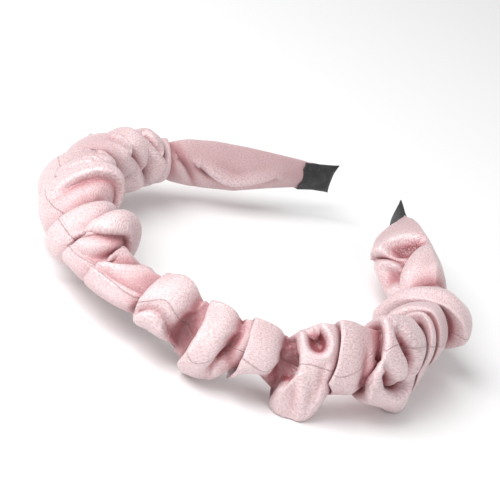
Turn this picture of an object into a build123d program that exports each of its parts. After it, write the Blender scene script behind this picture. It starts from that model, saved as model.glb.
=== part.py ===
"""Gathered satin headband: a springy flat strip inside a ruched fabric sleeve, with black end caps.

The hoop lies on its side edge. +Z is the width of the band, +Y runs from the crown to the two tips,
and the YZ plane is its plane of symmetry. Lengths are in millimetres. A "station" is a distance
along the strip's centreline, counted from the crown towards a tip.

The real strip and the real sleeve are one piece each. Here each is divided at the crown, where a
sprung hinge about +Z stands in for the bending of the strip, so every part is made once, on the
right, and mirrored to the left.
"""
from build123d import *
from math import radians, tan
import os

# --- hoop ------------------------------------------------------------------------------------
CROWN_RADIUS = 57.5         # strip's centreline over the crown
CROWN_TURN = 125.0          # degrees turned by each side before it runs straight
CROWN_Y = -65.0             # crown of the strip; puts the middle of the whole depth at y = 0
CAP_END = 185.5             # station of the outer end of a cap

# --- strip -----------------------------------------------------------------------------------
STRIP_WIDTH = 8.0
STRIP_THICKNESS = 1.8
STRIP_END = 184.0
STRIP_TIP_RADIUS = 3.5      # rounded corners of the strip's ends

# --- sleeve ----------------------------------------------------------------------------------
# Each section is a slot shape: width along Z, depth across the band, and how far the middle of
# the section stands outside the strip, because the gathers puff out away from the head.
PUFF_COUNT = 8              # puffs on each side
PUFF_PITCH = 16.0
CREST = (28.0, 17.0, 3.0)
VALLEY = (22.0, 11.0, 1.8)
# The smooth arm between the last puff and the cap: station, width, depth, outward shift.
ARM_SECTIONS = (
    (138.0, 19.5, 9.0, 0.8),
    (150.0, 18.5, 8.0, 0.5),
    (161.0, 14.5, 5.6, 0.2),
)
NECK_WIDTH = 9.6            # flattened end of the sleeve, glued round the strip
NECK_DEPTH = 2.8
NECK_START = 171.0
NECK_END = 180.0
CLOTH_WALL = 1.2            # thickness of the gathered cloth

# --- end caps --------------------------------------------------------------------------------
CAP_START = 173.0
CAP_ROOT = (10.6, 3.8)      # width along Z, depth
CAP_FREE_END = (10.9, 3.3)
CAP_FLOOR = 0.6             # material beyond the end of the glue
CAP_INNER_END = CAP_END - CAP_FLOOR

# --- crown hinge -----------------------------------------------------------------------------
OPENING_RELIEF = 21.5       # degrees cut back on each side, outside the hinge
CLOSING_RELIEF = 4.5        # degrees cut back on each side, inside the hinge
HINGE_CLEARANCE = 0.15
RELIEF_REACH = 20.0

MIDDLE_Z = CREST[0] / 2     # the widest puffs rest on z = 0


def half_hoop(length):
    """Centreline of the right half, from the crown to the given station."""
    with BuildLine() as line:
        arc = CenterArc((0, CROWN_Y + CROWN_RADIUS), CROWN_RADIUS, -90, CROWN_TURN)
        straight = length - arc.length
        Line(arc @ 1, (arc @ 1) + (arc % 1) * straight)
    return line.wires()[0].moved(Location((0, 0, MIDDLE_Z)))


HOOP = half_hoop(CAP_END)


def section_plane(station):
    """Plane across the band: local x points away from the head, local y lies along Z."""
    point = HOOP.position_at(station, PositionMode.LENGTH)
    tangent = HOOP.tangent_at(station, PositionMode.LENGTH)
    outward = tangent.rotate(Axis.Z, -90)
    return Plane(origin=point, x_dir=outward, z_dir=tangent)


def slot_section(station, width, depth, shift=0.0):
    """A slot-shaped face across the band."""
    with BuildSketch(section_plane(station)) as section:
        with Locations((shift, 0)):
            SlotOverall(width, depth, rotation=90)
    return section.sketch


def hollow_section(station, width, depth, shift):
    """The same section inside the cloth."""
    return slot_section(station, width - 2 * CLOTH_WALL, depth - 2 * CLOTH_WALL, shift)


def sleeve_sections():
    """Stations and sizes of the sleeve, from the valley at the crown to the start of its neck."""
    sections = []
    for index in range(2 * PUFF_COUNT + 1):
        size = CREST if index % 2 else VALLEY
        sections.append((index * PUFF_PITCH / 2, *size))
    sections.extend(ARM_SECTIONS)
    return sections


def crown_relief():
    """Outline of what is cut off at the crown, so that the halves clear each other as they turn."""
    outer_x = RELIEF_REACH * tan(radians(OPENING_RELIEF)) + HINGE_CLEARANCE
    inner_x = RELIEF_REACH * tan(radians(CLOSING_RELIEF)) + HINGE_CLEARANCE
    with BuildSketch(Plane.XY) as outline:
        with BuildLine():
            Polyline(
                (HINGE_CLEARANCE, CROWN_Y),
                (outer_x, CROWN_Y - RELIEF_REACH),
                (-RELIEF_REACH, CROWN_Y - RELIEF_REACH),
                (-RELIEF_REACH, CROWN_Y + RELIEF_REACH),
                (inner_x, CROWN_Y + RELIEF_REACH),
                close=True,
            )
        make_face()
    return outline.sketch


def mirrored(part):
    """The same piece on the other side of the plane of symmetry."""
    with BuildPart() as twin:
        add(mirror(part, about=Plane.YZ))
    return twin.part


# --- the strip -------------------------------------------------------------------------------
with BuildPart() as strip:
    with BuildSketch(section_plane(0)):
        Rectangle(STRIP_THICKNESS, STRIP_WIDTH)
    sweep(path=half_hoop(STRIP_END))
    tip_face = strip.faces().sort_by(Axis.Y)[-1]
    fillet(tip_face.edges().sort_by(SortBy.LENGTH)[:2], radius=STRIP_TIP_RADIUS)
    extrude(crown_relief(), amount=2 * MIDDLE_Z, mode=Mode.SUBTRACT)

# --- the sleeve ------------------------------------------------------------------------------
with BuildPart() as sleeve:
    neck = slot_section(NECK_START, NECK_WIDTH, NECK_DEPTH)
    outside = [slot_section(*section) for section in sleeve_sections()]
    loft(sections=outside + [neck], ruled=True)
    extrude(neck, amount=NECK_END - NECK_START)
    inside = [hollow_section(*section) for section in sleeve_sections()]
    loft(sections=inside, ruled=True, mode=Mode.SUBTRACT)
    add(strip.part, mode=Mode.SUBTRACT)
    extrude(crown_relief(), amount=2 * MIDDLE_Z, mode=Mode.SUBTRACT)

# --- glue and cap ----------------------------------------------------------------------------
with BuildPart() as glue:
    extrude(slot_section(NECK_END, NECK_WIDTH, NECK_DEPTH), amount=CAP_INNER_END - NECK_END)
    add(strip.part, mode=Mode.SUBTRACT)

with BuildPart() as cap:
    loft(sections=[slot_section(CAP_START, *CAP_ROOT), slot_section(CAP_END, *CAP_FREE_END)])
    socket = slot_section(CAP_START, NECK_WIDTH, NECK_DEPTH)
    extrude(socket, amount=CAP_INNER_END - CAP_START, mode=Mode.SUBTRACT)

os.makedirs("parts", exist_ok=True)
for name, right_part in (
    ("core_strip", strip.part),
    ("satin_sleeve", sleeve.part),
    ("end_glue", glue.part),
    ("end_cap", cap.part),
):
    for side, part in (("right", right_part), ("left", mirrored(right_part))):
        part.label = f"{name}_{side}"
        export_step(part, f"parts/{part.label}.step")
        print(part.label, round(part.volume, 1))
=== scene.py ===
"""Looks of the ruched satin headband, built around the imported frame."""
import math

import bmesh
import bpy
import numpy as np
from mathutils import Matrix, Vector


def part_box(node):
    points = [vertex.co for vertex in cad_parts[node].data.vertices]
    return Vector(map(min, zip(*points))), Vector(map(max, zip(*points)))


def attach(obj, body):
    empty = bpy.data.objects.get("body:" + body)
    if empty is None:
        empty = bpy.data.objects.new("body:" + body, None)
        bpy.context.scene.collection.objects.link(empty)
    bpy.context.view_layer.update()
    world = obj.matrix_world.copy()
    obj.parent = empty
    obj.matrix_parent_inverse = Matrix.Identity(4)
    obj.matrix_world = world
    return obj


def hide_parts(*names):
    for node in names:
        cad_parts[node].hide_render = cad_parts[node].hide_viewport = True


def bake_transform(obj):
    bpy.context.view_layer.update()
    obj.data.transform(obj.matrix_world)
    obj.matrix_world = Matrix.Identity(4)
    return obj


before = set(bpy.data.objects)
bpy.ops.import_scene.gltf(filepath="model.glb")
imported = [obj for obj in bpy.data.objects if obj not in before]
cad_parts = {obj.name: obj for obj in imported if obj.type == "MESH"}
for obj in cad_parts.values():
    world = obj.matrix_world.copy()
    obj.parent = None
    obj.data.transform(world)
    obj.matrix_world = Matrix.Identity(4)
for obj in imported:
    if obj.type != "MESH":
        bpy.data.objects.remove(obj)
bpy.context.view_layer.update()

MM = 0.001
LEFT, RIGHT = "left_half", "right_half"

# --- the hoop, from the frame -----------------------------------------------------------------
STRIP_HALF_THICKNESS = 0.9
CROWN_TURN = math.radians(125)
strip_low, strip_high = (np.array(corner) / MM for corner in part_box("core_strip_right"))
CROWN_RADIUS = strip_high[0] - STRIP_HALF_THICKNESS
CROWN_Y = strip_low[1] + STRIP_HALF_THICKNESS
MIDDLE_Z = (strip_low[2] + strip_high[2]) / 2
STRIP_HALF_WIDTH = (strip_high[2] - strip_low[2]) / 2
CROWN_ARC = CROWN_RADIUS * CROWN_TURN


def hoop(station):
    """Points, tangents and outward directions at stations: mm from the crown, negative on the left."""
    side = np.where(station < 0, -1.0, 1.0)
    turn = np.minimum(np.abs(station) / CROWN_RADIUS, CROWN_TURN)
    straight = np.maximum(np.abs(station) - CROWN_ARC, 0.0)
    x = side * (CROWN_RADIUS * np.sin(turn) + straight * math.cos(CROWN_TURN))
    y = CROWN_Y + CROWN_RADIUS * (1 - np.cos(turn)) + straight * math.sin(CROWN_TURN)
    point = np.stack([x, y, np.full_like(x, MIDDLE_Z)], axis=-1)
    tangent = np.stack([np.cos(turn), side * np.sin(turn), np.zeros_like(x)], axis=-1)
    outward = np.stack([tangent[..., 1], -tangent[..., 0], np.zeros_like(x)], axis=-1)
    return point, tangent, outward


# --- the sleeve's folds -----------------------------------------------------------------------
COLUMNS = 64                # points round the sleeve, from the outer side over the top
QUARTER = COLUMNS // 4
ROW_STEP = 1.2              # mm of cloth from one row of points to the next
CUT_WIDTH = 82.0            # mm, the widest that the tube was cut
LENS = 0.8                  # 0.5 makes a section an ellipse, 1 gives it sharp edges
PINCH = 0.26                # how much narrower the sleeve is in the valleys between puffs
ARCH_POINTS = 61            # from which the points of one quarter of a section are spread
# How far the sleeve's edges stand above and below the middle of the strip: (station, mm) points.
TOP_EDGE = (
    (-176, 4.9), (-170, 5.9), (-160, 7.0), (-148, 8.2), (-132, 9.2), (-118, 8.0),
    (-110.2, 8.5), (-109, 11.0), (-101.2, 10.0), (-100, 13.5), (-90.2, 11.5), (-89, 14.0),
    (-78.2, 12.0), (-77, 14.5), (-68.2, 12.0), (-67, 14.5), (-56.2, 11.0), (-55, 15.0),
    (-41.2, 10.5), (-40, 13.5), (-31.2, 11.0), (-30, 16.0), (-26, 17.0), (-21.5, 16.0),
    (-18.5, 12.0), (-17, 8.6), (-12, 8.2), (-8, 8.4), (-5, 9.8), (-3, 11.5), (4, 14.0), (9, 12.6),
    (13, 9.8), (14, 10.8), (19, 11.8), (26, 8.8), (26.6, 11.2), (34, 11.2), (38, 9.4), (41, 8.6),
    (44, 11.2), (47, 15.8), (56, 15.8), (61, 14.5), (70, 15.5), (78, 15.5), (83, 13.0), (84, 14.5),
    (91, 12.0), (92, 14.0), (99, 14.0), (106, 11.5), (107, 14.5), (112, 14.5), (119, 11.0),
    (130, 12.5), (148, 12.0), (160, 10.5), (167, 8.5), (172, 6.2), (176, 4.9),
)
BOTTOM_EDGE = (
    (-176, 4.9), (-170, 5.0), (-160, 6.6), (-147, 9.0), (-132, 8.8), (-120, 7.5), (-108, 9.5),
    (-100, 11.0), (-88, 12.0), (-74, 13.0), (-60, 11.5), (-46, 11.0), (-38, 9.0), (-30, 7.5),
    (-22, 6.6), (-8, 5.4), (-4, 5.8), (1, 7.4), (5, 6.8), (9, 10.0), (13, 12.5), (16, 13.5),
    (20, 13.5), (24, 13.5), (27, 10.0), (30.5, 5.4), (33, 5.6), (36.5, 10.0), (41, 18.0),
    (46, 21.0), (49.5, 19.0), (51, 10.0), (52, 10.0), (58, 8.5), (62, 7.0), (68, 9.0), (76, 13.0),
    (81, 18.0), (86, 24.0), (89, 20.0), (91, 12.0), (94, 10.0), (100, 9.0), (112, 9.0), (120, 9.5),
    (136, 11.0), (150, 10.5), (160, 9.5), (167, 8.0), (172, 6.0), (176, 4.9),
)
# Each puff: station of its sharp first edge, how that edge leans at the top and at the bottom, how far
# it overhangs the valley behind it, its depth outwards and inwards at the crest and in the valley, how
# lens-like its section is, and how far its top and its bottom stand outwards.
PUFFS = (
    (-117, 1, -1, 1.0, (7.0, 6.5), (5.0, 3.6), 0.8, (0, 0)),
    (-110, -2, 2, 2.0, (9.0, 8.5), (4.0, 3.4), 0.6, (0, 0)),
    (-101, 2, -1, 2.5, (10.0, 9.5), (4.0, 3.4), 0.5, (-2, 0)),
    (-90, 2, -2, 2.5, (12.0, 10.0), (4.5, 3.4), 0.5, (-3, 2)),
    (-78, -1, 1, 2.0, (12.5, 9.5), (4.0, 3.4), 0.5, (-4, 4)),
    (-68, 1, -1, 2.5, (10.0, 9.5), (4.0, 3.4), 0.5, (-4, 2)),
    (-56, 1, -1, 2.5, (9.5, 10.5), (4.0, 3.4), 0.5, (-4, 0.5)),
    (-41, 0, 2, 2.5, (9.8, 9.5), (4.0, 3.6), 0.5, (-4, 0.5)),
    (-31, 2, -1, 2.5, (10.5, 12.5), (5.0, 3.8), 0.5, (-4, 0)),
    (-19, 1, 0, 1.5, (9.5, 6.0), (8.0, 3.8), 0.7, (-1, 0)),
    (-3.5, 0.5, 0, 1.5, (9.5, 5.5), (6.5, 3.6), 0.8, (0, 0)),
    (13.5, 0.5, 1, 3.0, (10.0, 5.5), (4.2, 3.4), 0.8, (0, 2)),
    (26.5, 0.5, 0, 3.0, (10.0, 5.5), (4.0, 3.4), 0.8, (0, 0)),
    (39.5, 0, -2, 1.5, (8.5, 5.5), (3.2, 3.4), 0.8, (0, 4)),
    (48.5, 1, 3, 1.5, (10.5, 5.5), (6.0, 4.0), 0.8, (0, 1)),
    (61, 5, 1, 1.5, (11.0, 7.0), (6.5, 3.8), 0.7, (0, 6)),
    (83, 2, 6, 2.0, (8.5, 8.0), (5.5, 3.6), 0.6, (0, 1)),
    (91, 1, 3, 2.0, (8.0, 11.0), (5.5, 3.6), 0.6, (0, -2)),
    (107, -3, 1, 3.5, (12.0, 14.5), (5.5, 4.0), 0.55, (2, -5)),
)
PUFFS_END = (120, 1, -1, 1.5, None, (6.0, 7.0), 0.8, (0, 0))
# The plain arms: station, and the depth outwards and inwards.
LEFT_ARM = (
    (-176, (1.5, 1.5)), (-170, (2.2, 2.2)), (-160, (3.4, 3.8)), (-148, (4.2, 5.0)),
    (-135, (4.8, 5.2)), (-124, (5.0, 5.0)),
)
RIGHT_ARM = (
    (129, (7.5, 10.0)), (138, (8.5, 12.5)), (150, (7.5, 14.0)), (160, (5.0, 11.5)),
    (167, (3.4, 7.5)), (172, (2.4, 3.8)), (176, (1.5, 1.5)),
)


def section(top, bottom, outer, inner, lens, shifts):
    """Outward and upward coordinates of the points round one section, spread evenly."""
    rise = np.linspace(0, 1, ARCH_POINTS)
    arch = (1 - rise ** 2) ** lens
    to_top, to_bottom = (shift * rise for shift in shifts)
    quarters = (
        (outer * arch + to_top, top * rise),
        ((to_top - inner * arch)[::-1], top * rise[::-1]),
        (to_bottom - inner * arch, -bottom * rise),
        ((outer * arch + to_bottom)[::-1], -bottom * rise[::-1]),
    )
    points = []
    for out, up in quarters:
        length = np.concatenate([[0.0], np.cumsum(np.hypot(np.diff(out), np.diff(up)))])
        wanted = np.arange(QUARTER) / QUARTER * length[-1]
        points.append(np.stack([np.interp(wanted, length, out), np.interp(wanted, length, up)], axis=-1))
    return np.concatenate(points)


def control_row(stations, height, low, crest, lens=LENS, shifts=(0.0, 0.0)):
    """Section of a control row: height is 0 in a valley and 1 on a crest, low and crest are depths."""
    reach = []
    for edge, column in ((TOP_EDGE, QUARTER), (BOTTOM_EDGE, 3 * QUARTER)):
        edge = np.array(edge)
        full = np.interp(stations[column], edge[:, 0], edge[:, 1])
        reach.append(full * (1 - PINCH * (1 - height)))
    outer, inner = (low[side] + height * (crest[side] - low[side]) for side in (0, 1))
    lens = LENS + height * (lens - LENS)
    return section(*reach, outer, inner, lens, [shift * height for shift in shifts])


ROUND = np.arange(COLUMNS) / COLUMNS * 2 * math.pi      # 0 outwards, a quarter turn up
# The share of its overhang that an edge has at each column: less on the inner side.
OVERHANG_SHARE = 0.35 + 0.65 * np.clip(np.cos(ROUND) + np.abs(np.sin(ROUND)), 0, 1)


def lean(top, bottom):
    """Shift along the strip of a fold that leans at its top and bottom."""
    up = np.sin(ROUND)
    return top * np.maximum(up, 0) + bottom * np.maximum(-up, 0)


def rows_between(stations, sections):
    """Divide the run through these control rows into rows of about ROW_STEP of cloth."""
    moves = np.sqrt(np.diff(stations, axis=0) ** 2 + (np.diff(sections, axis=0) ** 2).sum(axis=2))
    place = np.concatenate([[0.0], np.cumsum(moves.mean(axis=1))])
    count = max(1, round(place[-1] / ROW_STEP))
    wanted = np.arange(count) / count * place[-1]

    def spread(table):
        flat = table.reshape(len(table), -1)
        rows = [np.interp(wanted, place, flat[:, column]) for column in range(flat.shape[1])]
        return np.stack(rows, axis=1).reshape((count,) + table.shape[1:])

    return spread(stations), spread(sections), np.full(count, place[-1] / count)


def puff_run(puff, following):
    """Control rows of one puff: a sharp overhanging first edge, a flat crest and a falling shoulder."""
    edge, lean_top, lean_bottom, over, crest, low, lens, shifts = puff
    next_edge, next_top, next_bottom, next_over, _, next_low, _, _ = following
    first = edge + lean(lean_top, lean_bottom)
    last = next_edge + lean(next_top, next_bottom)
    over, next_over, span = over * OVERHANG_SHARE, next_over * OVERHANG_SHARE, last - first
    controls = (
        (first + over, 0.0, low),
        (first + 0.5 * over, 0.4, low),
        (first - 0.3, 0.95, low),
        (first + 0.6, 1.03, low),
        (first + 0.35 * span, 1.0, next_low),
        (first + 0.6 * span, 0.87, next_low),
        (first + 0.8 * span, 0.6, next_low),
        (last, 0.25, next_low),
        (last + 0.6 * next_over, 0.08, next_low),
        (last + next_over, 0.0, next_low),
    )
    stations = np.array([row for row, _, _ in controls])
    sections = np.array([
        control_row(row, height, base, crest, lens, shifts) for row, height, base in controls
    ])
    return stations, sections


def arm_run(rows):
    """Control rows of a plain arm, from stations and depths."""
    stations = np.array([row for row, _ in rows])
    sections = np.array([control_row(row, 1.0, depth, depth) for row, depth in rows])
    return stations, sections


def valley_row(puff):
    """Stations and depth of the valley behind a puff's first edge."""
    edge, lean_top, lean_bottom, over, _, low, _, _ = puff
    return edge + lean(lean_top, lean_bottom) + over * OVERHANG_SHARE, low


def drawn_sleeve():
    """Every row of the drawn sleeve, each row's cloth length, and the row that each puff starts at."""
    def plain(arm):
        return [(np.full(COLUMNS, float(station)), depth) for station, depth in arm]

    left_arm = arm_run(plain(LEFT_ARM) + [valley_row(PUFFS[0])])
    right_arm = arm_run([valley_row(PUFFS_END)] + plain(RIGHT_ARM))
    puffs = [puff_run(puff, following) for puff, following in zip(PUFFS, PUFFS[1:] + (PUFFS_END,))]
    left_arm[1][-1] = puffs[0][1][0]        # an arm meets the puff beside it in the same section
    right_arm[1][0] = puffs[-1][1][-1]
    parts = [rows_between(*run) for run in (left_arm, *puffs, right_arm)]
    starts = np.cumsum([len(lengths) for _, _, lengths in parts])
    stations, sections = (
        np.concatenate([part[index] for part in parts] + [right_arm[index][-1:]]) for index in (0, 1)
    )
    return stations, sections, np.concatenate([lengths for _, _, lengths in parts]), starts


def placed(stations, sections):
    """Positions in mm of sleeve points from their stations and section coordinates."""
    point, _, outward = hoop(stations)
    across = point + outward * sections[..., :1]
    across[..., 2] += sections[..., 1]
    return across


def mesh_object(name, points, faces, closed=False):
    """A new mesh object from points in mm; the faces of a closed one are turned outwards."""
    mesh = bpy.data.meshes.new(name)
    mesh.from_pydata((np.asarray(points).reshape(-1, 3) * MM).tolist(), [], faces)
    if closed:
        turned = bmesh.new()
        turned.from_mesh(mesh)
        bmesh.ops.recalc_face_normals(turned, faces=turned.faces)
        turned.to_mesh(mesh)
        turned.free()
    mesh.update()
    mesh.shade_smooth()
    made = bpy.data.objects.new(name, mesh)
    bpy.context.scene.collection.objects.link(made)
    return made


def tube_faces(rows, columns):
    """Quads of a tube of rows by columns, open at both ends."""
    return [
        (row * columns + column, (row + 1) * columns + column,
         (row + 1) * columns + (column + 1) % columns, row * columns + (column + 1) % columns)
        for row in range(rows - 1)
        for column in range(columns)
    ]


# --- the cloth's small unevenness --------------------------------------------------------------
STATION_NOISE = 1.0         # mm along the strip
SECTION_NOISE = 0.07        # share of a section's size
GATHERS_REACH = 117         # mm from the crown to where the cloth is plain
GATHERS_FADE = 20           # times that the step from gathered to plain is averaged
CLOTH_SEED = 12


def smooth_rows(table, times):
    """Average each row with its neighbours, keeping the two ends."""
    for _ in range(times):
        inner = 0.25 * table[:-2] + 0.5 * table[1:-1] + 0.25 * table[2:]
        table = np.concatenate([table[:1], inner, table[-1:]])
    return table


def soft_noise(random, shape, along, round_it):
    """Random values of unit spread that change over about this many rows and columns."""
    white = np.fft.fft2(random.standard_normal(shape))
    row = np.fft.fftfreq(shape[0])[:, None] * along
    column = np.fft.fftfreq(shape[1])[None, :] * round_it
    field = np.fft.ifft2(white * np.exp(-2 * (math.pi * row) ** 2 - 2 * (math.pi * column) ** 2)).real
    return (field - field.mean()) / field.std()


def sleeve_points():
    """The sleeve's points, their stations and heights, each row's cloth length and width, the starts."""
    stations, sections, cloth, starts = drawn_sleeve()
    random = np.random.default_rng(CLOTH_SEED)
    plain_or_gathered = np.where(np.abs(stations.mean(axis=1)) < GATHERS_REACH, 1.0, 0.0)
    gathered = smooth_rows(plain_or_gathered, GATHERS_FADE)[:, None]
    stations = stations + soft_noise(random, stations.shape, 5, 7) * STATION_NOISE * gathered
    swell = 1 + soft_noise(random, stations.shape, 4, 6) * SECTION_NOISE * gathered
    drawn = smooth_rows(placed(stations, sections * swell[..., None]), 1)
    cloth_round = np.linalg.norm(np.roll(drawn, -1, axis=1) - drawn, axis=2).sum(axis=1)
    return drawn, np.stack([stations, sections[..., 1]], axis=-1), cloth, cloth_round, starts


def levels_round(height):
    """Heights that go on growing past the top edge, and falling past the bottom edge, on the inner side."""
    quarter = height.shape[1] // 4
    over_top = 2 * height[:, quarter, None] - height
    under = 2 * height[:, 3 * quarter, None] - height
    column = np.arange(height.shape[1])
    inner_top = (column > quarter) & (column <= 2 * quarter)
    inner_bottom = (column > 2 * quarter) & (column < 3 * quarter)
    return np.where(inner_top, over_top, np.where(inner_bottom, under, height))


def finer(table, closed):
    """Twice as many rows along the first axis, on a smooth curve through the given ones."""
    if closed:
        padded = np.concatenate([table[-1:], table, table[:2]])
    else:
        padded = np.concatenate([2 * table[:1] - table[1:2], table, 2 * table[-1:] - table[-2:-1]])
    middle = (9 * (padded[1:-2] + padded[2:-1]) - padded[:-3] - padded[3:]) / 16
    out = np.empty((len(table) + len(middle),) + table.shape[1:])
    out[0::2], out[1::2] = table, middle
    return out


def finer_grid(table):
    """Twice as many rows and columns."""
    return np.swapaxes(finer(np.swapaxes(finer(table, closed=False), 0, 1), closed=True), 0, 1)


# --- materials --------------------------------------------------------------------------------
def new_material(name):
    """A material with its node tree and its principled shader."""
    material = bpy.data.materials.new(name)
    material.use_nodes = True
    return material, material.node_tree, material.node_tree.nodes["Principled BSDF"]


def node(tree, kind, inputs=None, **settings):
    """Add a node, set its properties and its inputs; an input may be a value or another socket."""
    made = tree.nodes.new(kind)
    for key, value in settings.items():
        setattr(made, key, value)
    for key, value in (inputs or {}).items():
        if isinstance(value, bpy.types.NodeSocket):
            tree.links.new(value, made.inputs[key])
        else:
            made.inputs[key].default_value = value
    return made


def ramp(tree, source, stops):
    """Colour ramp over a value."""
    made = node(tree, "ShaderNodeValToRGB", {"Fac": source})
    elements = made.color_ramp.elements
    while len(elements) < len(stops):
        elements.new(0.5)
    for element, (position, colour) in zip(elements, stops):
        element.position = position
        element.color = (*colour, 1.0)
    return made.outputs["Color"]


def noise(tree, place, scale, detail, roughness=0.5):
    """Values of a noise texture at these coordinates."""
    inputs = {"Vector": place, "Scale": scale, "Detail": detail, "Roughness": roughness}
    return node(tree, "ShaderNodeTexNoise", inputs).outputs["Fac"]


def multiplied(tree, first, second):
    """Product of two colours. A mix node's colour sockets share their names, so they go by number."""
    made = node(tree, "ShaderNodeMix", data_type="RGBA", blend_type="MULTIPLY")
    made.inputs[0].default_value = 1.0
    tree.links.new(first, made.inputs[6])
    tree.links.new(second, made.inputs[7])
    return made.outputs[2]


def bumped(tree, shader, height, strength, distance):
    """Give the shader fine relief from a height."""
    bump = node(tree, "ShaderNodeBump", {"Height": height, "Strength": strength, "Distance": distance})
    tree.links.new(bump.outputs["Normal"], shader.inputs["Normal"])


# Satin colours by fold depth: PINK is the cloth's own colour; the paler crest colour is painted light and the
# deeper fold colours are painted shade.
PINK_PAINTED_CREST_LIGHT = (0.81, 0.60, 0.615)      # painted light on the crests
PINK = (0.71, 0.44, 0.46)
PINK_PAINTED_FOLD_SHADE = (0.56, 0.22, 0.245)
PINK_PAINTED_HOLLOW_SHADE = (0.31, 0.04, 0.055)   # painted shade in the deepest folds
FLECK_DARK, FLECK_MIDDLE, FLECK_LIGHT = (0.72, 0.64, 0.65), (0.91, 0.89, 0.89), (1.08, 1.13, 1.13)
# painted shade along the seam's groove
SEAM_PAINTED_SHADE = (0.72, 0.62, 0.63)
GRAIN_SCALE, WEAVE_SCALE, CLOUD_SCALE = 1400.0, 2200.0, 45.0        # per metre of cloth
SATIN_LUSTRE = {
    "IOR": 1.85,
    "Specular IOR Level": 0.9,
    "Sheen Weight": 0.4,
    "Sheen Roughness": 0.4,
    "Sheen Tint": (1.0, 0.93, 0.94, 1.0),
}


def satin_material():
    """Dusty pink satin with a fine crepe grain, painted light on its crests, painted shade in its folds, and
    its seam with painted shade along its groove.
    """
    material, tree, shader = new_material("satin")
    uv = node(tree, "ShaderNodeUVMap", uv_map="cloth").outputs["UV"]
    grain_place = node(tree, "ShaderNodeMapping", {"Vector": uv, "Scale": (1.0, 1.4, 1.0)}).outputs["Vector"]
    grain = noise(tree, grain_place, GRAIN_SCALE, 3.0, 0.6)
    weave = noise(tree, uv, WEAVE_SCALE, 1.0)
    cloud = noise(tree, uv, CLOUD_SCALE, 2.0)
    # The fold value picks painted light on the crests and painted shade in the folds; the cloud adds random
    # tone.
    fold = node(tree, "ShaderNodeAttribute", attribute_name="fold").outputs["Fac"]
    seam = node(tree, "ShaderNodeAttribute", attribute_name="seam").outputs["Fac"]
    from_seam = node(tree, "ShaderNodeMath", {0: seam}, operation="ABSOLUTE").outputs["Value"]
    # painted shade along the seam, which is also the height of its groove's relief
    seam_relief_and_painted_shade = ramp(tree, from_seam, ((0.06, SEAM_PAINTED_SHADE), (0.22, (1.0, 1.0, 1.0))))
    folds = node(tree, "ShaderNodeMath", {0: cloud, 1: 0.12, 2: fold}, operation="MULTIPLY_ADD")
    base = ramp(
        tree, folds.outputs["Value"],
        ((0.3, PINK_PAINTED_CREST_LIGHT), (0.54, PINK), (0.65, PINK_PAINTED_FOLD_SHADE), (0.80, PINK_PAINTED_HOLLOW_SHADE)),
    )
    flecks = ramp(tree, grain, ((0.36, FLECK_DARK), (0.5, FLECK_MIDDLE), (0.62, FLECK_LIGHT)))
    colour = multiplied(tree, multiplied(tree, base, flecks), seam_relief_and_painted_shade)
    tree.links.new(colour, shader.inputs["Base Color"])
    rough = ramp(tree, grain, ((0.35, (0.5, 0.5, 0.5)), (0.65, (0.26, 0.26, 0.26))))
    tree.links.new(rough, shader.inputs["Roughness"])
    for key, value in SATIN_LUSTRE.items():
        shader.inputs[key].default_value = value
    fine = node(tree, "ShaderNodeMath", {0: grain, 1: weave}, operation="MULTIPLY")
    relief = node(tree, "ShaderNodeMath", {0: fine.outputs["Value"], 1: seam_relief_and_painted_shade}, operation="ADD")
    bumped(tree, shader, relief.outputs["Value"], 1.0, 0.0005)
    return material


def cap_material():
    """Soft black shrink sleeve, matt, with faint scuffs."""
    material, tree, shader = new_material("cap_black")
    place = node(tree, "ShaderNodeTexCoord").outputs["Object"]
    scuffs = noise(tree, place, 420.0, 4.0, 0.65)
    colour = ramp(
        tree, scuffs, ((0.35, (0.018, 0.018, 0.02)), (0.62, (0.03, 0.03, 0.033)), (0.78, (0.1, 0.1, 0.105)))
    )
    tree.links.new(colour, shader.inputs["Base Color"])
    rough = ramp(tree, scuffs, ((0.3, (0.62, 0.62, 0.62)), (0.7, (0.45, 0.45, 0.45))))
    tree.links.new(rough, shader.inputs["Roughness"])
    bumped(tree, shader, scuffs, 0.4, 0.00015)
    return material


def plain_material(name, dark, light, roughness):
    """Moulded plastic or set glue with a slight mottle."""
    material, tree, shader = new_material(name)
    place = node(tree, "ShaderNodeTexCoord").outputs["Object"]
    mottle = noise(tree, place, 300.0, 3.0)
    tree.links.new(ramp(tree, mottle, ((0.3, dark), (0.7, light))), shader.inputs["Base Color"])
    shader.inputs["Roughness"].default_value = roughness
    bumped(tree, shader, mottle, 0.2, 0.0001)
    return material


SATIN = satin_material()
CAP_BLACK = cap_material()
STRIP_PLASTIC = plain_material("strip_plastic", (0.76, 0.74, 0.7), (0.84, 0.82, 0.78), 0.5)
GLUE = plain_material("glue", (0.72, 0.65, 0.5), (0.82, 0.76, 0.62), 0.3)


# --- the sleeve in three pieces ---------------------------------------------------------------
CLOTH_THICKNESS = 0.25      # mm
CROWN_PUFFS = (7, 14)       # the crown piece runs from the valley before one puff to that before the other


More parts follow.
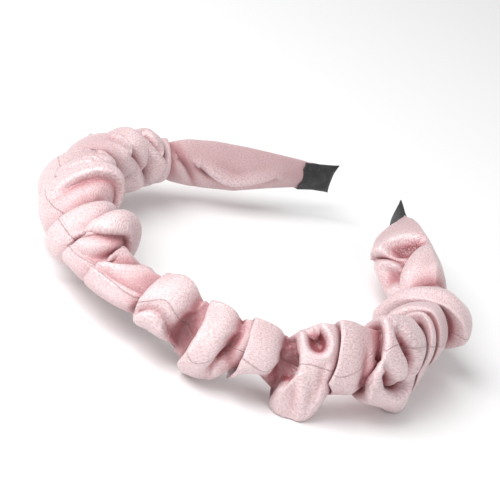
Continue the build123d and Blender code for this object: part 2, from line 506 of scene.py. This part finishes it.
def sleeve_piece(name, grid, painted_fold_shade, seam_gap, cloth_along, cloth_across):
    """One stretch of the sleeve as a thin closed sheet with cloth coordinates in metres."""
    rows, columns = grid.shape[:2]
    piece = mesh_object(name, grid, tube_faces(rows, columns))
    uv = piece.data.uv_layers.new(name="cloth")
    row, column = np.divmod(np.arange((rows - 1) * columns), columns)
    corners = ((0, 0), (1, 0), (1, 1), (0, 1))
    places = [
        (cloth_along[row + down], cloth_across * (column + side)) for down, side in corners
    ]
    flat = np.stack([np.stack(place, axis=-1) for place in places], axis=1) * MM
    uv.data.foreach_set("uv", flat.astype(np.float32).ravel())
    # The fold values set the satin's painted light and painted shade.
    for value_name, values in (("fold", painted_fold_shade), ("seam", seam_gap)):
        value = piece.data.attributes.new(value_name, "FLOAT", "POINT")
        value.data.foreach_set("value", values.astype(np.float32).ravel())
    piece.data.materials.append(SATIN)
    shell = piece.modifiers.new("thickness", "SOLIDIFY")
    shell.thickness = CLOTH_THICKNESS * MM
    shell.offset = -1.0
    return piece


# Pleats are smaller folds pressed into the puffs, along a line of (station, height) points. The cloth on
# the right of the line is the lip, which slides over a groove on the left. A pleat on the outside may go
# on past the top or bottom edge, where its heights go on growing or falling.
# Each pleat: side, depth, lip, slide, width, line.
OUTSIDE, INSIDE = 1, -1
PLEATS = (
    (INSIDE, 3.6, 1.8, 2.0, 2.6, ((-130, 1), (-137, -2), (-144, -3.3), (-151, -2), (-160, -0.5))),
    (INSIDE, 1.8, 0.8, 1.0, 2.4, ((-130, -6), (-127, -3), (-121, 3))),
    (INSIDE, 4.0, 1.0, 1.5, 2.5, ((-112, 4), (-107, 7), (-102, 10.5))),
    (INSIDE, 3.5, 1.5, 2.0, 3.0, ((-104, -6), (-100, -1), (-95, 4), (-88, 10))),
    (INSIDE, 2.6, 0.8, 1.0, 3.5, ((-88, 1), (-75, 7), (-64, 12))),
    (INSIDE, 3.0, 1.5, 2.0, 3.0, ((-96, -9), (-86, -7), (-74, -4))),
    (OUTSIDE, 2.2, 0.6, 0.8, 2.8, ((-58, 22), (-61, 15), (-62, 7))),
    (OUTSIDE, 2.0, 0.6, 0.8, 2.5, ((-46, 22), (-49, 15), (-49, 6))),
    (OUTSIDE, 2.4, 1.0, 1.4, 2.2, ((-19, 12), (-23, 11), (-29, 8), (-31, 3))),
    (OUTSIDE, 1.4, 0.6, 0.8, 2.0, ((-21, 4.5), (-16, 6.5), (-9, 9))),
    (OUTSIDE, 0.9, 0.3, 0.6, 1.4, ((-28, 3), (-20, 3.3), (-10, 4.0), (-4, 4.5))),
    (OUTSIDE, 2.2, 0.8, 1.2, 2.2, ((-2, -5), (-1.5, -1), (1, 2.5), (4, 2.8), (6.5, 0.5), (7.5, -4))),
    (OUTSIDE, 4.5, 0.2, 0.4, 3.6, ((9.5, -8), (11.5, -3), (12.1, 2), (12.1, 7))),
    (OUTSIDE, 2.5, 0.8, 1.0, 2.0, ((21, -9), (21.8, -5), (24, 0))),
    (OUTSIDE, 4.5, 0.2, 0.4, 3.0, ((24.4, -3), (24.6, 2), (24.6, 7))),
    (OUTSIDE, 4.4, 0.2, 0.3, 2.8, ((37.5, -3), (40, 2), (38.5, 7))),
    (OUTSIDE, 2.2, 0.4, 0.3, 2.4, ((44, -12), (42.8, -7), (41, -1))),
    (OUTSIDE, 0.9, 0.2, 0.3, 1.6, ((47, -8), (46.5, -4), (45, 0))),
    (OUTSIDE, 1.2, 0.3, 0.6, 2.2, ((47.5, -7), (48, -1), (47.5, 5))),
    (OUTSIDE, 1.2, 0.3, 0.5, 2.2, ((60.5, -2), (60, 3), (59.5, 10))),
    (OUTSIDE, 8.0, 0.8, 1.2, 2.4,
     ((64, 4), (66.5, -0.5), (71, -3), (75.5, -1.5), (77, 3.5), (75, 8.5), (70, 13))),
    (INSIDE, 7.0, 1.8, 2.2, 3.6, ((146, 10.5), (137, 7.5), (129, 3.0), (119, -3))),
    (INSIDE, 4.0, 1.2, 1.5, 2.6, ((152, -2), (147, 3), (142, 7))),
)
# Curled ends: side, station, height, radius, depth of the hollow, height of its rim.
CURLS = (
    (OUTSIDE, 45.0, 9.5, 2.4, 4.0, 1.2),
    (OUTSIDE, 114, 3.0, 3.5, 3.0, 1.0),
    (INSIDE, 147.5, 8.2, 3.2, 4.0, 0.0),
    (INSIDE, 137, 0.5, 4.5, 5.0, 0.0),
)
PLEAT_NORMALS_BLUR = 8      # times that the surface is averaged before it is pressed along its normals
PLEAT_REACH = 5             # how far a pleat is felt, in its widths
PLEAT_ENDS = 0.15           # keeps some of a pleat's depth at its ends
STEEP = 0.4                 # how narrow a pleat's lip side is, against its groove side
LIP_PLACE, SLIDE_PLACE = 1.5, 1.2           # of the lip and of the slide, in widths of the steep side
RIM_PLACE, RIM_WIDTH = 1.3, 0.6             # in radii of the curl
INNER_FACING = 0.3          # cloth that faces outwards less than this counts as the inside
STRIP_GAP = 0.7             # mm between the strip and the cloth
FLOOR_GAP = 0.3             # mm between the floor and the cloth
GLUED_FROM = 165            # mm from the crown to where the cloth tapers on to the strip
# The seam that closes the tube, along the outer side: (station, height) points.
SEAM = (
    (-169, 1), (-140, 2), (-118, 3), (-100, 5), (-84, 3), (-68, 5), (-52, 3), (-38, 4), (-27, 2.5), (-14, 3),
    (-3, 3), (4, 7), (11, 2), (16, -4), (21, -1), (26, 2), (33, -0.5), (39, 3), (45, 4), (52, 3), (58, 6),
    (66, 11), (80, 9), (92, 5), (104, 3), (120, 2), (140, 2), (169, 1),
)
HOLLOW_BLUR_ALONG, HOLLOW_BLUR_ROUND = 150, 30      # times that the surface is averaged
PAINTED_SHADE_FULL_DEPTH = 2.5           # mm below the blurred surface, where the painted shade in a fold is darkest


def grid_normals(grid):
    """Unit outward directions of the sleeve's surface."""
    down = np.gradient(grid, axis=0)
    side = np.roll(grid, -1, axis=1) - np.roll(grid, 1, axis=1)
    normal = np.cross(down, side)
    return normal / np.maximum(np.linalg.norm(normal, axis=2, keepdims=True), 1e-9)


def from_line(line, station, height):
    """Signed distance from a line, positive on its right, the share of it passed, and its right side."""
    line = np.array(line, float)
    for _ in range(3):
        line = finer(line, closed=False)
    lengths = np.linalg.norm(np.diff(line, axis=0), axis=1)
    best, gap, passed = np.full(station.shape, np.inf), np.zeros_like(station), np.zeros_like(station)
    across = np.zeros(station.shape + (2,))
    before = 0.0
    for start, step, length in zip(line[:-1], np.diff(line, axis=0), lengths):
        run = step / length
        ds, dh = station - start[0], height - start[1]
        at = np.clip(ds * run[0] + dh * run[1], 0, length)
        off_s, off_h = ds - at * run[0], dh - at * run[1]
        distance = np.hypot(off_s, off_h)
        nearer = distance < best
        side = np.sign(off_s * run[1] - off_h * run[0])
        best = np.where(nearer, distance, best)
        gap = np.where(nearer, distance * side, gap)
        passed = np.where(nearer, before + at, passed)
        across[nearer] = (run[1], -run[0])
        before += length
    return gap, passed / lengths.sum(), across


def bell(distance, width):
    """A smooth hump of height 1."""
    return np.exp(-(distance / width) ** 2)


def pleated(grid, place):
    """The sleeve with its pleats and curls pressed in."""
    normal = grid_normals(smooth_rows(grid, PLEAT_NORMALS_BLUR))
    station, height = place[..., 0], place[..., 1]
    around = levels_round(height)
    _, tangent, outward = hoop(station)
    facing = (normal * outward).sum(axis=2)
    up = np.array([0.0, 0.0, 1.0])
    for side, depth, lip, slide, width, line in PLEATS:
        level = around if side == OUTSIDE else height
        gap, passed, across = from_line(line, station, level)
        near = (np.abs(gap) < PLEAT_REACH * width) & ((side == OUTSIDE) | (facing < INNER_FACING))
        window = np.clip(4 * passed * (1 - passed) + PLEAT_ENDS, 0, 1) ** 0.5 * near
        steep = STEEP * width
        groove = depth * bell(gap, np.where(gap < 0, width, steep))
        raised = lip * bell(gap - LIP_PLACE * steep, LIP_PLACE * steep)
        sliding = slide * bell(gap - SLIDE_PLACE * steep, SLIDE_PLACE * steep) * (gap > 0)
        push = across[..., :1] * tangent + across[..., 1:] * up
        grid = grid + normal * (window * (raised - groove))[..., None]
        grid = grid - push * (window * sliding)[..., None]
    for side, at_station, at_height, radius, depth, rim in CURLS:
        level = around if side == OUTSIDE else height
        distance = np.hypot(station - at_station, level - at_height) / radius
        push = rim * bell(distance - RIM_PLACE, RIM_WIDTH) - depth * np.exp(-distance ** 4)
        push = push * ((side == OUTSIDE) | (facing < INNER_FACING))
        grid = grid + normal * push[..., None]
    return grid


def clear_of_strip(grid, place):
    """Keep the cloth outside the strip, however deep a pleat is."""
    point, _, outward = hoop(place[..., 0])
    reach = ((grid - point) * outward).sum(axis=2)
    turn = np.arange(grid.shape[1]) / grid.shape[1] * 2 * math.pi
    side = np.where(np.cos(turn) >= 0, 1.0, -1.0)
    beside = np.abs(grid[..., 2] - MIDDLE_Z) < STRIP_HALF_WIDTH + STRIP_GAP
    beside &= np.abs(place[..., 0]) < GLUED_FROM
    short = np.where(beside, np.maximum(STRIP_HALF_THICKNESS + STRIP_GAP - reach * side, 0), 0)
    return grid + outward * (side * short)[..., None]


def fold_depths_for_painted_shade(grid):
    """How hollow the surface is at each point, which sets the satin's painted light and painted shade: 0.5
    where it is even, 1 in a deep fold, 0 on a sharp crest.
    """
    blurred = smooth_rows(grid, HOLLOW_BLUR_ALONG)
    for _ in range(HOLLOW_BLUR_ROUND):
        blurred = 0.25 * np.roll(blurred, -1, axis=1) + 0.5 * blurred + 0.25 * np.roll(blurred, 1, axis=1)
    depth = ((blurred - grid) * grid_normals(blurred)).sum(axis=2)
    return np.clip(0.5 + depth / (2 * PAINTED_SHADE_FULL_DEPTH), 0, 1)


drawn, place, cloth, cloth_round, starts = sleeve_points()
along = np.concatenate([[0.0], np.cumsum(cloth)])
grid, place = finer_grid(drawn), finer_grid(place)
grid = pleated(grid, place)
grid = clear_of_strip(grid, place)
grid[..., 2] = np.maximum(grid[..., 2], FLOOR_GAP)
# Fold depths for the satin's painted shade and painted light.
painted_fold_shade = fold_depths_for_painted_shade(grid)
seam_gap = from_line(SEAM, place[..., 0], levels_round(place[..., 1]))[0]
fine_along = finer(along, closed=False)
cuts = [0, 2 * starts[CROWN_PUFFS[0]], 2 * starts[CROWN_PUFFS[1]], len(grid) - 1]
sleeve_pieces = {}
for name, first, last in zip(("left_arm", "crown", "right_arm"), cuts[:-1], cuts[1:]):
    sleeve_pieces[name] = sleeve_piece(
        f"satin_sleeve_{name}", grid[first:last + 1], painted_fold_shade[first:last + 1], seam_gap[first:last + 1],
        fine_along[first:last + 1], CUT_WIDTH / (2 * COLUMNS),
    )
    rows = slice(first // 2, last // 2)
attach(sleeve_pieces["left_arm"], LEFT)
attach(sleeve_pieces["right_arm"], RIGHT)
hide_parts("satin_sleeve_left")
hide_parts("satin_sleeve_right")
blend_start, blend_end = grid[cuts[1], :, 0].max() * MM, grid[cuts[2], :, 0].min() * MM


def blend_over_crown(piece):
    """Bake the placement of a piece over the crown into its mesh; it is attached to neither half."""
    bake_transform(piece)


blend_over_crown(sleeve_pieces["crown"])
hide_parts("satin_sleeve_left", "satin_sleeve_right")

# --- the end caps -----------------------------------------------------------------------------
CAP_START, CAP_END = 171.6, 184.9           # stations of its two ends
CAP_ROWS, CAP_COLUMNS = 26, 48
# Distance along the cap from 0 to 1, half width along Z, half thickness.
CAP_SHAPE = ((0.0, 5.3, 2.2), (0.15, 5.15, 2.2), (0.5, 4.9, 1.9), (0.9, 5.2, 1.4), (1.0, 5.5, 0.65))
CAP_WALL = 0.35             # mm
CAP_WRINKLES = 0.07         # share of the thickness
CAP_RAGGED = 0.35           # mm that the end over the cloth wanders by
CAP_DIP = 0.4               # mm that the middle of the free end stops short


def squarer(wave, power):
    """A sine or cosine with fuller sides, which makes a rounded box from an ellipse."""
    return np.sign(wave) * np.abs(wave) ** power


def cap(name, side, top_corner, bottom_corner, bow):
    """A black shrink sleeve, pinched flat at its free end, whose corners flare by different amounts."""
    random = np.random.default_rng(3 if side < 0 else 4)
    along_cap = np.linspace(0, 1, CAP_ROWS)
    angle = np.arange(CAP_COLUMNS) / CAP_COLUMNS * 2 * math.pi
    shape = np.array(CAP_SHAPE)
    half_width = np.interp(along_cap, shape[:, 0], shape[:, 1])[:, None]
    half_depth = np.interp(along_cap, shape[:, 0], shape[:, 2])[:, None]
    up, out = np.sin(angle)[None], np.cos(angle)[None]
    wrinkle = soft_noise(random, (CAP_ROWS, CAP_COLUMNS), 5, 2.0) * CAP_WRINKLES
    height = squarer(up, 0.8) * half_width
    depth = squarer(out, 0.8) * half_depth * (1 + wrinkle)
    flare = np.where(height > 0, top_corner, bottom_corner) * (np.abs(height) / shape[-1, 1]) ** 3
    flare = flare - CAP_DIP
    ragged = soft_noise(random, (1, CAP_COLUMNS), 1, 1.5) * CAP_RAGGED
    reach = CAP_START + (CAP_END - CAP_START) * along_cap[:, None]
    reach = reach + flare * along_cap[:, None] ** 2 + ragged * (1 - along_cap[:, None]) ** 3
    point, _, outward = hoop(side * np.abs(reach))
    bend = bow * along_cap[:, None] ** 2
    points = point + outward * (depth + bend)[..., None]
    points[..., 2] += height
    faces = tube_faces(CAP_ROWS, CAP_COLUMNS)
    last = (CAP_ROWS - 1) * CAP_COLUMNS
    quarter = CAP_COLUMNS // 4
    for step in range(CAP_COLUMNS // 2):        # the free end is closed from its inner to its outer side
        inner_side = [(quarter + step) % CAP_COLUMNS, (quarter + step + 1) % CAP_COLUMNS]
        outer_side = [(quarter - step - 1) % CAP_COLUMNS, (quarter - step) % CAP_COLUMNS]
        corners = [last + index for index in inner_side + outer_side]
        faces.append(tuple(dict.fromkeys(corners)))
    piece = mesh_object(name, points, faces, closed=True)
    piece.data.materials.append(CAP_BLACK)
    shell = piece.modifiers.new("wall", "SOLIDIFY")
    shell.thickness = CAP_WALL * MM
    shell.offset = -1.0
    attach(piece, LEFT if side < 0 else RIGHT)
    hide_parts(f"end_cap_{'left' if side < 0 else 'right'}")


cap("cap_left", -1, 1.3, 0.9, 0.0)
cap("cap_right", 1, 1.6, -0.3, 0.4)

# --- the strip and the glue -------------------------------------------------------------------
STRIP_END = 184.0
STRIP_TIP = 3.5             # radius of the strip's rounded corners
STRIP_CHAMFER = 0.35        # of the strip's long edges
# Station, half width along Z, half thickness.
GLUE_SHAPE = (
    (175.5, 4.2, 1.1), (177.0, 4.6, 1.35), (180.0, 4.3, 1.15), (182.4, 4.1, 1.0), (183.2, 3.4, 0.93),
)
GLUE_ROWS, GLUE_COLUMNS = 16, 24
GLUE_LUMPS = 0.03           # share of a section's size


def strip_piece(name, first, last):
    """One stretch of the plastic strip, with softened long edges and rounded ends."""
    stations = np.linspace(first, last, max(12, round((last - first) / 1.5)))
    tip = np.clip(STRIP_TIP - (STRIP_END - np.abs(stations)), 0, STRIP_TIP)
    half = STRIP_HALF_WIDTH - (STRIP_TIP - np.sqrt(STRIP_TIP ** 2 - tip ** 2))
    outer, inner = STRIP_HALF_THICKNESS, STRIP_HALF_THICKNESS - STRIP_CHAMFER
    profile = np.array((
        (outer, -1, STRIP_CHAMFER), (outer, 1, STRIP_CHAMFER), (inner, 1, 0), (-inner, 1, 0),
        (-outer, 1, STRIP_CHAMFER), (-outer, -1, STRIP_CHAMFER), (-inner, -1, 0), (inner, -1, 0),
    ))
    sections = np.zeros((len(stations), len(profile), 2))
    sections[..., 0] = profile[:, 0]
    sections[..., 1] = profile[:, 1] * (half[:, None] - profile[:, 2])
    grid = placed(np.repeat(stations[:, None], len(profile), axis=1), sections)
    faces = tube_faces(len(stations), len(profile))
    faces.append(tuple(range(len(profile)))[::-1])
    faces.append(tuple((len(stations) - 1) * len(profile) + index for index in range(len(profile))))
    piece = mesh_object(name, grid, faces, closed=True)
    piece.data.materials.append(STRIP_PLASTIC)
    piece.modifiers.new("edges", "BEVEL").width = 0.1 * MM
    return piece


def glue_piece(name, side):
    """The dab of glue that fills the cap round the strip's end."""
    random = np.random.default_rng(8 if side < 0 else 9)
    shape = np.array(GLUE_SHAPE)
    stations = np.linspace(shape[0, 0], shape[-1, 0], GLUE_ROWS)
    lumps = 1 + GLUE_LUMPS * soft_noise(random, (GLUE_ROWS, GLUE_COLUMNS), 2, 3)
    turn = np.arange(GLUE_COLUMNS) / GLUE_COLUMNS * 2 * math.pi
    width, depth = (np.interp(stations, shape[:, 0], shape[:, column])[:, None] for column in (1, 2))
    out = squarer(np.cos(turn), 0.6) * depth * lumps
    up = squarer(np.sin(turn), 0.6) * width * lumps
    around = side * np.repeat(stations[:, None], GLUE_COLUMNS, axis=1)
    grid = placed(around, np.stack([out, up], axis=-1))
    faces = tube_faces(GLUE_ROWS, GLUE_COLUMNS)
    faces.append(tuple(range(GLUE_COLUMNS))[::-1])
    faces.append(tuple((GLUE_ROWS - 1) * GLUE_COLUMNS + index for index in range(GLUE_COLUMNS)))
    piece = mesh_object(name, grid, faces, closed=True)
    piece.data.materials.append(GLUE)
    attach(piece, LEFT if side < 0 else RIGHT)
    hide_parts(f"end_glue_{'left' if side < 0 else 'right'}")


def station_at(x):
    """Station on the hoop's near side where the strip has this x."""
    return CROWN_RADIUS * math.asin(x / CROWN_RADIUS)


split_left, split_right = station_at(blend_start / MM), station_at(blend_end / MM)
strips = {
    "left": strip_piece("strip_left_arm", -STRIP_END, split_left),
    "crown": strip_piece("strip_crown", split_left, split_right),
    "right": strip_piece("strip_right_arm", split_right, STRIP_END),
}
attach(strips["left"], LEFT)
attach(strips["right"], RIGHT)
blend_over_crown(strips["crown"])
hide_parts("core_strip_left")
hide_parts("core_strip_right")
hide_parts("core_strip_left", "core_strip_right")
glue_piece("glue_left", -1)
glue_piece("glue_right", 1)

# --- floor, light and camera ------------------------------------------------------------------
FLOOR_SIZE = 3.0
TARGET = Vector((0.0, (CROWN_Y + 60) * MM, MIDDLE_Z * MM))      # the lights and the camera face this


def floor():
    """Plain pale floor under the headband."""
    mesh = bpy.data.meshes.new("floor")
    reach = FLOOR_SIZE / 2
    corners = [(-reach, -reach, 0), (reach, -reach, 0), (reach, reach, 0), (-reach, reach, 0)]
    mesh.from_pydata(corners, [], [(0, 1, 2, 3)])
    made = bpy.data.objects.new("floor", mesh)
    bpy.context.scene.collection.objects.link(made)
    material, _, shader = new_material("floor")
    shader.inputs["Base Color"].default_value = (0.93, 0.93, 0.93, 1.0)
    shader.inputs["Roughness"].default_value = 0.9
    shader.inputs["Specular IOR Level"].default_value = 0.1
    mesh.materials.append(material)


def soft_light(name, place, size, power):
    """A square soft box that faces the headband."""
    light = bpy.data.lights.new(name, "AREA")
    light.size = size
    light.energy = power
    made = bpy.data.objects.new(name, light)
    bpy.context.scene.collection.objects.link(made)
    made.location = place
    made.rotation_euler = (TARGET - Vector(place)).to_track_quat("-Z", "Y").to_euler()


floor()
soft_light("key_light", (-0.35, -0.5, 0.75), 0.7, 9.8)
soft_light("fill_light", (0.7, -0.5, 0.45), 0.5, 1.5)
WHITE = (1.0, 1.0, 1.0, 1.0)
WORLD_STRENGTH = 0.48
world = bpy.data.worlds.new("studio")
bpy.context.scene.world = world
world.use_nodes = True
world.node_tree.nodes["Background"].inputs["Color"].default_value = WHITE
world.node_tree.nodes["Background"].inputs["Strength"].default_value = WORLD_STRENGTH
bpy.context.scene.view_settings.view_transform = "Standard"

CAMERA_AZIMUTH, CAMERA_ELEVATION, CAMERA_ROLL = (math.radians(a) for a in (19.6, 25.5, 22.0))
CAMERA_DISTANCE = 0.571
CAMERA_SENSOR, CAMERA_LENS = 36.0, 133.2    # mm
CAMERA_SHIFT = (-0.0134, 0.0084)            # in sensor widths
camera = bpy.data.cameras.new("camera")
camera.sensor_width = CAMERA_SENSOR
camera.lens = CAMERA_LENS
camera.shift_x, camera.shift_y = CAMERA_SHIFT
camera_object = bpy.data.objects.new("camera", camera)
bpy.context.scene.collection.objects.link(camera_object)
back = Vector((
    math.sin(CAMERA_AZIMUTH) * math.cos(CAMERA_ELEVATION),
    -math.cos(CAMERA_AZIMUTH) * math.cos(CAMERA_ELEVATION),
    math.sin(CAMERA_ELEVATION),
))
level_right = (-back).cross(Vector((0, 0, 1))).normalized()
level_up = back.cross(level_right)
right = math.cos(CAMERA_ROLL) * level_right + math.sin(CAMERA_ROLL) * level_up
up = math.cos(CAMERA_ROLL) * level_up - math.sin(CAMERA_ROLL) * level_right
turned = Matrix((right, up, back)).transposed().to_4x4()
turned.translation = TARGET + back * CAMERA_DISTANCE
camera_object.matrix_world = turned
bpy.context.scene.camera = camera_object
